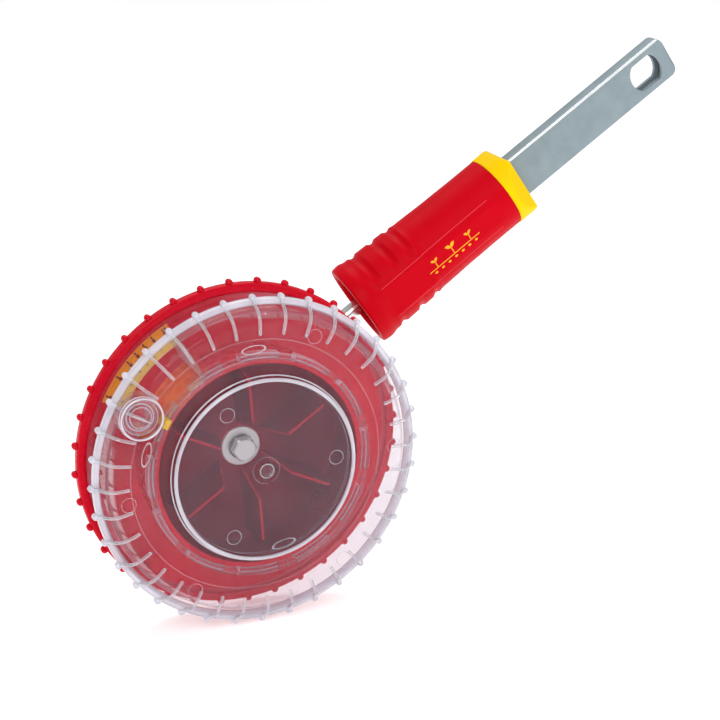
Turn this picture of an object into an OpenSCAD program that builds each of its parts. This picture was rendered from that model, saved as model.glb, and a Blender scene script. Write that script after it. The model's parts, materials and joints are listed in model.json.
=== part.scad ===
// Hand seed sower head: a clear-fronted dispensing wheel on a cranked arm, with a
// grip sleeve and a flat tongue that plugs into a long garden handle.
// Row frame: +Z up, the axle along Y, the clear front facing -Y, and the origin on the
// axle at the middle of the tread. The handle rises towards +X.
// Wheel frame, used by the modules: X along the handle, Y across it, Z out of the
// clear front, so a depth below is a distance in front of (+) or behind (-) the origin.

/* [Wheel] */
// Radius of the red rim, without its lugs
rim_r = 74.2; // [73.5:0.1:75]
// Radius to the tips of the red lugs
lug_tip_r = 76.4; // [75.6:0.1:77]
// Number of lugs on the red rim and of ribs on the clear cover
lug_count = 36; // [24:1:40]
// Depth of the seed chamber floor
floor_c = -10.7; // [-11.5:0.1:-10.7]
// Outer radius of the tube wall inside the seed chamber
tube_r = 47.6; // [46.5:0.1:47.6]
// Number of vanes in the centre well
vane_count = 6; // [4:1:8]

/* [Cover] */
// Outer radius of the clear cup wall
skirt_r = 70; // [69.5:0.1:70]
// Wall thickness of the clear cover
cover_wall = 1.7; // [1.4:0.1:1.8]
// Depth of the cover's front face
face_c = 20; // [19:0.5:21]
// Radius to the tips of the clear ribs
nub_tip_r = 75.6; // [74.6:0.1:76]
// Distance of the filler hole from the axle
filler_pos_r = 62; // [60:0.5:63]
// Radius of the filler hole
filler_hole_r = 5.2; // [4:0.1:6]

/* [Scale] */
// Number of seed size settings
setting_count = 6; // [4:1:6]
// Angle between two settings
setting_step = 5.4; // [4.5:0.1:5.4]

/* [Axle] */
// Thread diameter of the axle bolt
bolt_d = 6; // [5:0.5:6]
// Width across flats of the bolt head and nut
bolt_af = 10; // [9:0.5:11]
// Diameter of the large washer under the bolt head
washer_d = 18; // [15:0.5:20]

/* [Handle] */
// Angle of the handle above the ground
handle_rise = 34; // [20:1:50]
// Distance of the handle's centre line behind the origin
handle_back = 40.5; // [38:0.5:44]
// Diameter of the steel arm
arm_d = 7.2; // [6:0.2:8]
// Width of the tongue
tongue_w = 20.7; // [19:0.1:21]
// Thickness of the tongue
tongue_t = 8.5; // [7:0.1:9]

/* [Hidden] */

fine = 96;
small = 48;
lap = 0.5;                 // how far joined shapes run into each other
play = 0.3;                // clearance between pieces that turn past each other

// Red disc
plate_t = 2;
rim_front_c = -9.5;
rim_back_c = -14;
rim_in_r = skirt_r + play + 0.1;
lug_r = 1.6;
tube_in_r = tube_r - 2.2;
tube_top_c = 15;
vane_t = 1.4;
vane_top_c = 11;
vane_foot_r = 11;
vane_head_r = 18;
vane_end_r = 38;
snap_groove_c = 10.8;      // middle of the groove that the cover's fingers snap into
snap_groove_h = 2.2;
snap_groove_depth = 0.9;
hub_front_c = -10.5;
hub_back_c = -19.9;
hub_r = 9.5;
rib_back_c = -15.5;
rib_ring_r = 58;

// Seed outlet: a window in a red lip, in front of six stepped notches in the cup wall
outlet_angle = 165;
lip_out_r = skirt_r - cover_wall - play;
lip_t = 1.4;
lip_top_c = 1;
lip_half_angle = 31;
window_h = 9.5;
notch_step_h = 1.5;

// Clear cover
skirt_in_r = skirt_r - cover_wall;
skirt_end_c = floor_c + 0.5;
band_r = 73.6;
band_lo_c = 9.8;
band_hi_c = 12.8;
crown_c = 23;              // front of the raised centre disc
crown_r = 41;
rib_t = 1.5;
rib_in_r = 60;
rib_angle = 6.7;
ring_in_r = tube_r + play;
ring_out_r = 50.2;
ring_end_c = 9.9;
finger_count = 12;
finger_gap = 9;            // angle of the slot between two spring fingers
finger_slot_c = 14.5;
bead_h = 1.6;
bead_in_r = tube_r - 0.6;
partition_angle = 86;
partition_t = 1.2;
sprue_r = 1.75;
sprue_c = 27.5;

// Filler
filler_angle = 116.5;
boss_r = 9.5;
boss_wall = 1.3;
boss_top_c = 22;
boss_floor_c = 18.3;
boss_foot_c = 12;

// Scale label
label_from = 84;
label_to = 121;
label_in_r = 57;
label_out_r = 68;
label_t = 0.2;

// Click key
key_angle = 115;
key_half_w = 2.2;
key_in_r = tube_r + 0.1;
key_out_r = 50.4;
key_lo_c = 10.2;

// Axle stack, front to back
washer_t = 1.6;
stack_c = -10.3;           // back of the front washer
spring_t = 1.6;
head_h = 4;
thrust_c = -20.1;
eye_c = thrust_c - washer_t;
eye_t = 4;
eye_r = 9;
nut_h = 6;
bolt_end_c = -35;
bush_r = 4.5;
bore_play = 0.05;
bolt_r = bolt_d / 2;

// Arm: straight behind the wheel, a crank backwards, straight into the grip
arm_r = arm_d / 2;
arm_c = eye_c - eye_t / 2;
crank_angle = 45;
crank_start = 50;
crank_rise = handle_back + arm_c;
crank_end = crank_start + crank_rise / tan(crank_angle);
arm_end = 128;
knee_r = arm_r + 0.15;

// Grip
sleeve_lo = 83.6;
sleeve_hi = 167.8;
sleeve_bore_r = 15.7;
sleeve_tilt = 4.6;         // the grip's lower end faces a little forward of straight down
groove_at = [95.8, 106.8, 115.8];
groove_r = 1.6;
panel_w = 16;
core_r = 15.6;
core_lo = 105;
core_hi = 165.8;
collar_hi = 178;
collar_r = 18.1;
collar_slope = 4.4;
spigot_r = 15.6;
tongue_lo = 132;
tongue_hi = 272.8;
tongue_wall = 1.8;
tongue_corner = 3.5;
tongue_step = 0.1;         // the tongue is this much thinner each side inside the grip
latch_at = 258.5;
latch_r = 8.5;
latch_w = 14;
slot_play = 0.15;
tongue_pin_at = 143;
arm_pin_at = 117;
pin_r = 2;
pin_wall = 0.8;

module in_row() {
    rotate([0, -handle_rise, 0]) rotate([90, 0, 0]) children();
}

// Stands on the handle's centre line with Z along the handle and X across it
module on_handle() {
    in_row() translate([0, 0, -handle_back]) rotate([0, 90, 0]) rotate([0, 0, 90]) children();
}

module disc(r, lo, hi, f = fine) {
    translate([0, 0, lo]) cylinder(r = r, h = hi - lo, $fn = f);
}

module ring(r_out, r_in, lo, hi, f = fine) {
    difference() {
        disc(r_out, lo, hi, f);
        disc(r_in, lo - lap, hi + lap, f);
    }
}

// Part of a ring between two angles
module sector(r_in, r_out, lo, hi, from, to) {
    translate([0, 0, lo]) rotate([0, 0, from])
        rotate_extrude(angle = to - from, $fn = fine)
            translate([r_in, 0]) square([r_out - r_in, hi - lo]);
}

// ---- wheel ----

module vane() {
    rotate([90, 0, 0]) translate([0, 0, -vane_t / 2]) linear_extrude(vane_t)
        polygon([[vane_foot_r, floor_c - lap], [vane_end_r + 2.5, floor_c - lap],
                 [vane_end_r, vane_top_c], [vane_head_r, vane_top_c]]);
}

module outlet_lip() {
    difference() {
        sector(lip_out_r - lip_t, lip_out_r, floor_c - lap, lip_top_c,
               outlet_angle - lip_half_angle, outlet_angle + lip_half_angle);
        sector(lip_out_r - 2 * lip_t, lip_out_r + lip_t, floor_c - 2 * lap, floor_c + window_h,
               outlet_angle - setting_step / 2, outlet_angle + setting_step / 2);
    }
}

module back_rib() {
    translate([0, -vane_t / 2, rib_back_c])
        cube([rib_ring_r - vane_t / 2, vane_t, floor_c - plate_t - rib_back_c + lap]);
}

module rear_disc() {
    color("crimson") in_row() difference() {
        union() {
            disc(rim_in_r + lap, floor_c - plate_t, floor_c);
            ring(rim_r, rim_in_r, rim_back_c, rim_front_c);
            ring(tube_r, tube_in_r, floor_c - lap, tube_top_c);
            disc(hub_r, hub_back_c, hub_front_c);
            ring(rib_ring_r, rib_ring_r - vane_t, rib_back_c - 0.4, floor_c - plate_t + lap);
            outlet_lip();
            for (i = [0 : lug_count - 1])
                rotate([0, 0, 8.3 + i * 360 / lug_count]) translate([lug_tip_r - lug_r, 0, 0])
                    disc(lug_r, rim_back_c + 0.1, rim_front_c - 0.1, small);
            for (i = [0 : vane_count - 1]) rotate([0, 0, i * 360 / vane_count]) {
                vane();
                back_rib();
            }
        }
        disc(bush_r + bore_play, hub_back_c - lap, hub_front_c + lap, small);
        ring(tube_r + lap, tube_r - snap_groove_depth,
             snap_groove_c - snap_groove_h / 2, snap_groove_c + snap_groove_h / 2);
    }
}

module scale_label() {
    color("orange") in_row()
        sector(label_in_r, label_out_r, floor_c, floor_c + label_t, label_from, label_to);
}

// ---- cover ----

module cover_shell() {
    rotate_extrude($fn = fine)
        polygon([[0, crown_c], [crown_r, crown_c], [crown_r + 1, crown_c - 1],
                 [crown_r + 1, face_c], [66, face_c], [69, 17.6], [70.6, 14.8],
                 [71.4, band_hi_c], [band_r, band_hi_c], [band_r, band_lo_c],
                 [skirt_r, band_lo_c], [skirt_r, skirt_end_c], [skirt_in_r, skirt_end_c],
                 [skirt_in_r, band_hi_c], [67.4, 16.6], [65.2, face_c - cover_wall],
                 [crown_r - cover_wall, face_c - cover_wall],
                 [crown_r - cover_wall, crown_c - cover_wall], [0, crown_c - cover_wall]]);
}

module cover_rib() {
    rotate([90, 0, 0]) translate([0, 0, -rib_t / 2]) linear_extrude(rib_t)
        polygon([[rib_in_r, face_c - lap], [rib_in_r, face_c + 0.8], [66.3, face_c + 1],
                 [69.9, 18.2], [71.6, 15], [72.4, band_hi_c + 0.6],
                 [nub_tip_r, band_hi_c + 0.4], [nub_tip_r, band_lo_c - 0.4],
                 [band_r - 1, band_lo_c - 0.4], [70.5, band_hi_c - 1], [66, face_c - lap]]);
}

module snap_ring() {
    difference() {
        union() {
            ring(ring_out_r, ring_in_r, ring_end_c, face_c - cover_wall + lap);
            ring(ring_in_r + lap, bead_in_r, snap_groove_c - bead_h / 2,
                 snap_groove_c + bead_h / 2);
        }
        for (i = [0 : finger_count - 1])
            sector(bead_in_r - lap, ring_out_r + lap, ring_end_c - lap, finger_slot_c,
                   (i + 0.5) * 360 / finger_count - 5 - finger_gap / 2,
                   (i + 0.5) * 360 / finger_count - 5 + finger_gap / 2);
        key_space(slot_play);
    }
}

// Room for the click key in the snap ring
module key_space(gap) {
    rotate([0, 0, key_angle])
        translate([key_in_r - 3, -key_half_w - gap, key_lo_c - 2])
            cube([key_out_r - key_in_r + 6, 2 * (key_half_w + gap),
                  face_c - cover_wall - key_lo_c + 2]);
}

module partition_wall() {
    rotate([0, 0, partition_angle])
        translate([ring_out_r - lap, -partition_t / 2, floor_c + 0.7])
            cube([skirt_in_r - ring_out_r + 2 * lap, partition_t,
                  face_c - cover_wall + lap - floor_c - 0.7]);
}

module at_filler() {
    rotate([0, 0, filler_angle]) translate([filler_pos_r, 0, 0]) children();
}

module clear_cover() {
    color("lavender") in_row() difference() {
        union() {
            cover_shell();
            snap_ring();
            partition_wall();
            at_filler() disc(boss_r, boss_foot_c, boss_top_c, small);
            disc(sprue_r, crown_c - lap, sprue_c, small);
            disc(2 * sprue_r, crown_c - lap, crown_c + 0.8, small);
            for (i = [0 : lug_count - 1])
                rotate([0, 0, rib_angle + i * 360 / lug_count]) cover_rib();
        }
        at_filler() {
            disc(boss_r - boss_wall, boss_floor_c, boss_top_c + lap, small);
            disc(filler_hole_r, boss_foot_c - lap, boss_floor_c + lap, small);
        }
        for (i = [0 : setting_count - 1])
            sector(skirt_in_r - lap, skirt_r + lap, skirt_end_c - lap,
                   skirt_end_c + (i + 1) * notch_step_h,
                   outlet_angle + (i - 0.5) * setting_step - 0.01,
                   outlet_angle + (i + 0.5) * setting_step);
    }
}

module click_key() {
    color("gold") in_row() rotate([0, 0, key_angle])
        translate([key_in_r, -key_half_w, key_lo_c])
            cube([key_out_r - key_in_r, 2 * key_half_w, face_c - cover_wall - key_lo_c]);
}

module filler_plug() {
    color("gainsboro") in_row() at_filler() {
        disc(boss_r - boss_wall - play, boss_floor_c, boss_floor_c + 1.2, small);
        ring(filler_hole_r - 0.05, filler_hole_r - 1.2, boss_foot_c + 0.5, boss_floor_c + lap,
             small);
        translate([-5.5, -0.6, boss_floor_c + 1]) cube([11, 1.2, 3]);
    }
}

// ---- axle ----

// Hexagon with its front edge chamfered to a circle
module hex_body(lo, hi, sign) {
    chamfer = 0.8;
    intersection() {
        translate([0, 0, lo]) cylinder(r = bolt_af / 2 / cos(30), h = hi - lo, $fn = 6);
        translate([0, 0, sign > 0 ? lo - lap : lo])
            cylinder(r1 = sign > 0 ? bolt_af / 2 + (hi - lo + lap) * 1.7 : bolt_af / 2 - 0.3,
                     r2 = sign > 0 ? bolt_af / 2 - 0.3 : bolt_af / 2 + (hi - lo) * 1.7,
                     h = hi - lo + (sign > 0 ? lap : 0), $fn = small);
    }
}

module axle_bolt() {
    head_lo = stack_c + washer_t + spring_t;
    color("silver") in_row() {
        hex_body(head_lo, head_lo + head_h, 1);
        disc(bolt_r, bolt_end_c, head_lo + lap, small);
    }
}

module spring_washer() {
    lo = stack_c + washer_t;
    color("silver") in_row() difference() {
        ring(bolt_r + 2.9, bolt_r + 0.1, lo, lo + spring_t, small);
        translate([bolt_r, -0.4, lo - lap]) cube([bolt_r, 0.8, spring_t + 2 * lap]);
    }
}

module front_washer() {
    color("honeydew") in_row() ring(washer_d / 2, bolt_r + 0.1, stack_c, stack_c + washer_t,
                                    small);
}

module bearing_bush() {
    color("darkgoldenrod") in_row() ring(bush_r, bolt_r + 0.03, thrust_c, stack_c, small);
}

module thrust_washer() {
    color("silver") in_row() ring(washer_d / 2, bolt_r + 0.1, eye_c, thrust_c, small);
}

module rear_washer() {
    color("silver") in_row()
        ring(bolt_r * 2, bolt_r + 0.1, eye_c - eye_t - washer_t, eye_c - eye_t, small);
}

module lock_nut() {
    hi = eye_c - eye_t - washer_t;
    color("silver") in_row() difference() {
        hex_body(hi - nut_h, hi, -1);
        disc(bolt_r, hi - nut_h - lap, hi + lap, small);
    }
}

// ---- arm ----

// A rod along X
module rod_x(from, to) {
    translate([from, 0, 0]) rotate([0, 90, 0]) cylinder(r = arm_r, h = to - from, $fn = small);
}

module arm_rod() {
    color("lightgray") in_row() translate([0, 0, arm_c]) difference() {
        union() {
            disc(eye_r, -eye_t / 2, eye_t / 2, small);
            translate([0, -arm_r * 1.4, -eye_t / 2]) cube([eye_r + 8, arm_r * 2.8, eye_t]);
            rod_x(eye_r + 5, crank_start);
            translate([crank_start, 0, 0]) {
                sphere(r = knee_r, $fn = small);
                rotate([0, crank_angle, 0]) rod_x(0, crank_rise / sin(crank_angle));
            }
            translate([crank_end, 0, -crank_rise]) {
                sphere(r = knee_r, $fn = small);
                rod_x(0, arm_end - crank_end);
            }
        }
        disc(bolt_r + 0.1, -eye_t, eye_t, small);
        translate([arm_pin_at, 0, -crank_rise]) rotate([90, 0, 0])
            translate([0, 0, -arm_d]) cylinder(r = pin_r, h = 2 * arm_d, $fn = small);
    }
}

// ---- grip, in the handle's frame ----

module roll_pin(at, half_len) {
    translate([0, 0, at]) rotate([0, 90, 0]) difference() {
        translate([0, 0, -half_len]) cylinder(r = pin_r, h = 2 * half_len, $fn = small);
        translate([0, 0, -half_len - lap])
            cylinder(r = pin_r - pin_wall, h = 2 * (half_len + lap), $fn = small);
        translate([0, -0.3, -half_len - lap]) cube([pin_r + lap, 0.6, 2 * (half_len + lap)]);
    }
}

module arm_pin() {
    color("dimgray") on_handle() roll_pin(arm_pin_at, 14);
}

module tongue_pin() {
    color("dimgray") on_handle() rotate([0, 0, 90]) roll_pin(tongue_pin_at, 14);
}

module flat_bar(w, t, corner, lo, hi) {
    translate([-w / 2, -t / 2, lo]) cube([w, t, hi - lo - corner]);
    translate([-w / 2 + corner, -t / 2, lo]) cube([w - 2 * corner, t, hi - lo]);
    for (side = [-1, 1])
        translate([side * (w / 2 - corner), t / 2, hi - corner]) rotate([90, 0, 0])
            cylinder(r = corner, h = t, $fn = small);
}

module tongue() {
    color("slategray") on_handle() difference() {
        flat_bar(tongue_w, tongue_t, tongue_corner, tongue_lo, tongue_hi);
        for (side = [-1, 1])
            translate([-tongue_w, side * (tongue_t - tongue_step) - tongue_t / 2,
                       tongue_lo - lap])
                cube([2 * tongue_w, tongue_t, collar_hi + 0.3 - tongue_lo + lap]);
        translate([0, 0, tongue_lo - lap])
            flat_bar(tongue_w - 2 * tongue_wall, tongue_t - 2 * tongue_wall, 1.5, 0,
                     tongue_hi - tongue_lo - tongue_wall);
        translate([0, tongue_t, latch_at]) rotate([90, 0, 0]) intersection() {
            cylinder(r = latch_r, h = 2 * tongue_t, $fn = small);
            translate([-latch_w / 2, -2 * latch_r, 0]) cube([latch_w, 4 * latch_r, 2 * tongue_t]);
        }
        translate([0, tongue_t, tongue_pin_at]) rotate([90, 0, 0])
            cylinder(r = pin_r, h = 2 * tongue_t, $fn = small);
    }
}

module core_insert() {
    color("dimgray") on_handle() difference() {
        disc(core_r, core_lo, core_hi);
        disc(arm_r, core_lo - lap, arm_end + 0.5, small);
        translate([-tongue_w / 2 - slot_play, -tongue_t / 2 - slot_play, tongue_lo - 0.2])
            cube([tongue_w + 2 * slot_play, tongue_t + 2 * slot_play, core_hi]);
        translate([-2 * core_r, 0, arm_pin_at]) rotate([0, 90, 0])
            cylinder(r = pin_r, h = 4 * core_r, $fn = small);
        translate([0, 2 * core_r, tongue_pin_at]) rotate([90, 0, 0])
            cylinder(r = pin_r, h = 4 * core_r, $fn = small);
    }
}

// Grip grooves, on the two sides only
module side_grooves() {
    for (at = groove_at, turn = [-50, 130])
        translate([0, 0, at]) rotate([0, 0, turn]) rotate_extrude(angle = 100, $fn = fine)
            translate([20.1, 0]) circle(r = groove_r, $fn = small);
}

// Shallow flat on the front and the back of the grip
module panel_cut(turn) {
    rotate([0, 0, turn]) translate([-panel_w / 2, 18.3, sleeve_lo + 6.2]) rotate([1.1, 0, 0])
        cube([panel_w, 6, 70]);
}

module grip_sleeve() {
    color("red") on_handle() difference() {
        rotate_extrude($fn = fine)
            polygon([[sleeve_bore_r, sleeve_lo + 6], [sleeve_bore_r + 1.2, sleeve_lo - 2.5],
                     [20.2, sleeve_lo - 2.5], [20.5, sleeve_lo + 2.2], [20.5, sleeve_lo + 4.2],
                     [19.4, sleeve_lo + 8.2], [19.2, sleeve_lo + 32.2],
                     [18.4, sleeve_lo + 36.2], [17.9, sleeve_lo + 56.2],
                     [17.75, sleeve_lo + 71.2], [17.75, sleeve_hi], [sleeve_bore_r, sleeve_hi]]);
        translate([0, 0, sleeve_lo]) rotate([-sleeve_tilt, 0, 0]) translate([-30, -30, -10])
            cube([60, 60, 10]);
        side_grooves();
        panel_cut(0);
        panel_cut(180);
    }
}

module collar_ring() {
    color("yellow") on_handle() difference() {
        union() {
            rotate_extrude($fn = fine)
                polygon([[0, sleeve_hi], [collar_r, sleeve_hi],
                         [collar_r, collar_hi - collar_slope],
                         [collar_r - collar_slope, collar_hi], [0, collar_hi]]);
            disc(spigot_r, core_hi, sleeve_hi + lap);
        }
        translate([-tongue_w / 2 - slot_play, -tongue_t / 2 - slot_play, core_hi - lap])
            cube([tongue_w + 2 * slot_play, tongue_t + 2 * slot_play, 20]);
    }
}

rear_disc();
scale_label();
clear_cover();
click_key();
filler_plug();
axle_bolt();
spring_washer();
front_washer();
bearing_bush();
thrust_washer();
rear_washer();
lock_nut();
arm_rod();
arm_pin();
core_insert();
grip_sleeve();
collar_ring();
tongue();
tongue_pin();
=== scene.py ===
"""Looks for the hand seed sower head: clear-fronted seed wheel, cranked arm, grip and tongue.

Lengths in the shape code are millimetres in two local frames, and piece() turns them into the
pack's frame in metres. WHEEL has X along the handle, Y across it and Z out of the clear front,
with its origin on the axle. GRIP stands on the handle's centre line with X across the handle,
Y to the front and Z along the handle, counted from the axle.
"""
import json
import math
from math import cos, pi, radians, sin

import bmesh
import bpy
from mathutils import Matrix, Vector

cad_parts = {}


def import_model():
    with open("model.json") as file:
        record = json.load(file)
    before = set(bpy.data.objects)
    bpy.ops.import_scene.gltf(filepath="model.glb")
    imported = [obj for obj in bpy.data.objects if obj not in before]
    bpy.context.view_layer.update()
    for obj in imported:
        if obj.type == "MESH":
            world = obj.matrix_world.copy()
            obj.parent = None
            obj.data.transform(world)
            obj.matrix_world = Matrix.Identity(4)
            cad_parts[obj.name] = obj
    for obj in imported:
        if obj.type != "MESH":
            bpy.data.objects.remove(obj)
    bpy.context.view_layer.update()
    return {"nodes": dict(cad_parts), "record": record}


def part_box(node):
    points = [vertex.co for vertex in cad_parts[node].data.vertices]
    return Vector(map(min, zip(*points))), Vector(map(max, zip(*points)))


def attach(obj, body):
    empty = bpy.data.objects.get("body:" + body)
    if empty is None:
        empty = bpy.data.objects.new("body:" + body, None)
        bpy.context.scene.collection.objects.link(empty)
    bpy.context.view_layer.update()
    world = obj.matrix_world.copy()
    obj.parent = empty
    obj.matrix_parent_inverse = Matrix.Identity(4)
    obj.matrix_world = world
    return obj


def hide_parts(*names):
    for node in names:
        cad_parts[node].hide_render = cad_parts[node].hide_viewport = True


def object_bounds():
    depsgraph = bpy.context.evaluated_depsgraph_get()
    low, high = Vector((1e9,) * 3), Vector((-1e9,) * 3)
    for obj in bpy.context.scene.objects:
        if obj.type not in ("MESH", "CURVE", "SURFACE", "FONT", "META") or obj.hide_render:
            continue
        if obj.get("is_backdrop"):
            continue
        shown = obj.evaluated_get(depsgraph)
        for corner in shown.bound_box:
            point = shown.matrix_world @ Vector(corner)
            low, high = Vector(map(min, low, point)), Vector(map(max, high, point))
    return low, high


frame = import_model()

RECORD = frame["record"]
MOUNTS = {m["name"]: m for m in RECORD["mounts"]}
MM = 0.001

# ---- frames, from the record ----
FRONT = Vector(MOUNTS["rolling_axis"]["axis"])
ALONG = Vector(MOUNTS["tongue_slide"]["axis"])
ACROSS = FRONT.cross(ALONG)
HANDLE_BACK = MOUNTS["tongue_slide"]["pos_m"][1]


def frame_matrix(x, y, z, origin):
    m = Matrix((x, y, z)).transposed().to_4x4()
    return Matrix.Translation(origin) @ m @ Matrix.Scale(MM, 4)


WHEEL = frame_matrix(ALONG, ACROSS, FRONT, Vector((0, 0, 0)))
GRIP = frame_matrix(ACROSS, FRONT, ALONG, -FRONT * HANDLE_BACK)


def depths(node):
    """Back and front of a node along the axle, in the wheel frame, in millimetres."""
    lo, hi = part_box(node)
    return -hi.y / MM, -lo.y / MM


# ---- driving sizes, in millimetres ----
DISC_BACK, TUBE_TOP = depths("rear_disc")
LUG_TIP = (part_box("rear_disc")[1].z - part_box("rear_disc")[0].z) / 2 / MM
COVER_END, SPRUE_TOP = depths("clear_cover")
NUB_TIP = (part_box("clear_cover")[1].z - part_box("clear_cover")[0].z) / 2 / MM
LABEL_BACK, LABEL_FRONT = depths("scale_label")
BOLT_END, HEAD_FRONT = depths("axle_bolt")
FLOOR_C = LABEL_BACK
TREADS = 36
LUG_PHASE = 8.3
RIB_PHASE = 6.7
RIM_R = LUG_TIP - 2.2
RIM_FRONT, RIM_BACK = FLOOR_C + 1.2, FLOOR_C - 3.3
TUBE_R = 47.6
TUBE_WALL = 2.2
HUB_R = 9.5
BUSH_R = 4.5
BOLT_R, BOLT_BORE = 3.0, 3.1
HEAD_HIGH, HEX = 4.0, 10.0
WASHER_R = 9.0
PLATE = 2.0
SINK = 0.3                  # how far a part that stands on another is let into it
SKIRT_R = 70.0
WALL = 1.7
FACE_C = 20.0
CROWN_C = 23.0
CROWN_R = 41.0
BAND_R = NUB_TIP - 2.0
BAND_LO, BAND_HI = 9.8, 12.8
RING_IN, RING_OUT = 47.9, 50.2
FINGERS = 12
FINGER_STEP = 360 / FINGERS
FINGER_ROOT, FINGER_END = 14.5, 9.9
SLOT_PHASE, SLOT_HALF = 10.0, 4.5
FILLER_ANGLE, FILLER_POS = 116.5, 62.0
BOSS_R, BOSS_WALL, HOLE_R = 9.5, 1.3, 5.2
BOSS_TOP, BOSS_FLOOR, BOSS_FOOT = 22.0, 18.3, 12.0
VANES = 6
VANE_FOOT, VANE_HEAD, VANE_END, VANE_TOP = 11.0, 18.0, 38.0, 11.0
VANE_HALF = 0.7
BACK_RIB_R, BACK_RIB_HIGH = 57.3, 2.8
LABEL_FROM, LABEL_TO = 84.0, 121.0
LABEL_IN, LABEL_SPLIT, LABEL_OUT = 57.0, 60.8, 68.0
SETTINGS = 6
SETTING_STEP = 5.4
ARROW_ANGLES = (91.5, 95.6, 99.8, 104.0, 110.5, 118.5)
ARROW_R, DIGIT_R, LINE_R = 63.8, 59.6, 62.5
INK_HIGH = 0.03
OUTLET_ANGLE, OUTLET_HALF = 165.0, 31.0
NOTCH_STEP = 1.5


# ---- outlines ----

def smooth(x):
    """A soft step from 0 to 1 as x goes from 0 to 1."""
    x = min(max(x, 0.0), 1.0)
    return x * x * (3 - 2 * x)


def soft_min(a, b, width):
    """The lower of a and b, rounded over where they cross."""
    share = min(max(0.5 + (b - a) / (2 * width), 0.0), 1.0)
    return b + (a - b) * share - width * share * (1 - share) * 0.5


def filleted(points, steps=4):
    """A closed outline of (x, y, radius) corners as (x, y) points with rounded corners."""
    out = []
    count = len(points)
    for i, (x, y, r) in enumerate(points):
        p = Vector((x, y))
        a = Vector(points[i - 1][:2]) - p
        b = Vector(points[(i + 1) % count][:2]) - p
        if r <= 0 or a.length < 1e-6 or b.length < 1e-6:
            out.append((x, y))
            continue
        half = a.angle(b) / 2
        reach = min(r / math.tan(half), 0.48 * a.length, 0.48 * b.length)
        r_used = reach * math.tan(half)
        a, b = a.normalized(), b.normalized()
        centre = p + (a + b).normalized() * (r_used / sin(half))
        start, end = p + a * reach - centre, p + b * reach - centre
        turn = start.angle_signed(end)
        for k in range(steps + 1):
            q = centre + Matrix.Rotation(-turn * k / steps, 2) @ start
            out.append((q.x, q.y))
    return out


def circle(radius, sides, x=0.0, y=0.0, flat=1.0):
    """Points round a circle about (x, y). flat squeezes it along Y."""
    turns = [2 * pi * i / sides for i in range(sides)]
    return [(x + radius * cos(t), y + radius * flat * sin(t)) for t in turns]


# ---- mesh parts: each is (vertices, faces) in a local frame ----

def moved(part, matrix):
    verts, faces = part
    return [matrix @ Vector(v) for v in verts], faces


def turned(part, degrees):
    return moved(part, Matrix.Rotation(radians(degrees), 4, "Z"))


def repeated(part, count, phase=0.0):
    """Copies of a part at even angles round the axle."""
    return [turned(part, phase + i * 360 / count) for i in range(count)]


def shifted(part, x=0.0, y=0.0, z=0.0):
    return moved(part, Matrix.Translation((x, y, z)))


def joined(parts):
    verts, faces = [], []
    for v, f in parts:
        base = len(verts)
        verts += [Vector(p) for p in v]
        faces += [tuple(i + base for i in face) for face in f]
    return verts, faces


def loop_faces(count, around, bands=None):
    """Faces between loops of points. With all its bands the last loop joins the first."""
    faces = []
    for k in range(bands or count):
        a, b = k * around, ((k + 1) % count) * around
        for i in range(around):
            m = (i + 1) % around
            faces.append((a + i, a + m, b + m, b + i))
    return faces


def stack_faces(count, around):
    """Faces between loops of points set one on another, with a cap on each end."""
    caps = [tuple(reversed(range(around))), tuple(range((count - 1) * around, count * around))]
    return loop_faces(count, around, count - 1) + caps


def lathe(outline, segments=180, start=0.0, end=360.0):
    """Turns a closed (radius, z) outline about Z. A part turn gets flat ends."""
    full = abs(end - start) >= 360
    rows = segments if full else segments + 1
    n = len(outline)
    verts, faces = [], []
    for i in range(rows):
        t = radians(start + (end - start) * i / segments)
        verts += [Vector((r * cos(t), r * sin(t), z)) for r, z in outline]
    for i in range(segments):
        a, b = i * n, ((i + 1) % rows) * n
        for j in range(n):
            k = (j + 1) % n
            faces.append((a + j, b + j, b + k, a + k))
    if not full:
        faces.append(tuple(range(n)))
        faces.append(tuple(reversed(range((rows - 1) * n, rows * n))))
    return verts, faces


def prism(outline, lo, hi):
    """A flat outline pulled up from lo to hi along Z."""
    n = len(outline)
    verts = [Vector((x, y, lo)) for x, y in outline] + [Vector((x, y, hi)) for x, y in outline]
    faces = [tuple(reversed(range(n))), tuple(range(n, 2 * n))]
    faces += [(i, (i + 1) % n, n + (i + 1) % n, n + i) for i in range(n)]
    return verts, faces


def tube(path, width, height, sides=10, up=Vector((0, 1, 0))):
    """A rounded bar along path. Its width is measured along up, its height across it."""
    verts = []
    last = len(path) - 1
    for i, p in enumerate(path):
        ahead = (path[min(i + 1, last)] - path[max(i - 1, 0)]).normalized()
        side = ahead.cross(up).normalized()
        for k in range(sides):
            t = 2 * pi * k / sides
            verts.append(p + up * (cos(t) * width / 2) + side * (sin(t) * height / 2))
    return verts, stack_faces(len(path), sides)


def torus(radius, thick, z, segments=96, sides=8, flat=1.0):
    """A thin raised ring. flat lowers its section."""
    return lathe(circle(thick, sides, radius, z, flat), segments)


def capsule(radius, lo, hi, sides=16, rings=5):
    """A cylinder along Z with domed ends."""
    rows = []
    for k in range(rings + 1):
        u = pi / 2 * k / rings
        rows.append((radius * sin(u), lo + radius * (1 - cos(u))))
    for k in range(rings + 1):
        u = pi / 2 * k / rings
        rows.append((radius * cos(u), hi - radius * (1 - sin(u))))
    rows[0], rows[-1] = (0.01, lo), (0.01, hi)
    verts = [Vector((x, y, z)) for r, z in rows for x, y in circle(r, sides)]
    return verts, stack_faces(len(rows), sides)


def box_part(x0, x1, y0, y1, z0, z1):
    return prism([(x0, y0), (x1, y0), (x1, y1), (x0, y1)], z0, z1)


def outline_part(outline, half):
    """A (radius, z) outline as a plate that stands upright on the X axis."""
    return moved(prism(outline, -half, half), Matrix.Rotation(pi / 2, 4, "X"))


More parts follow.
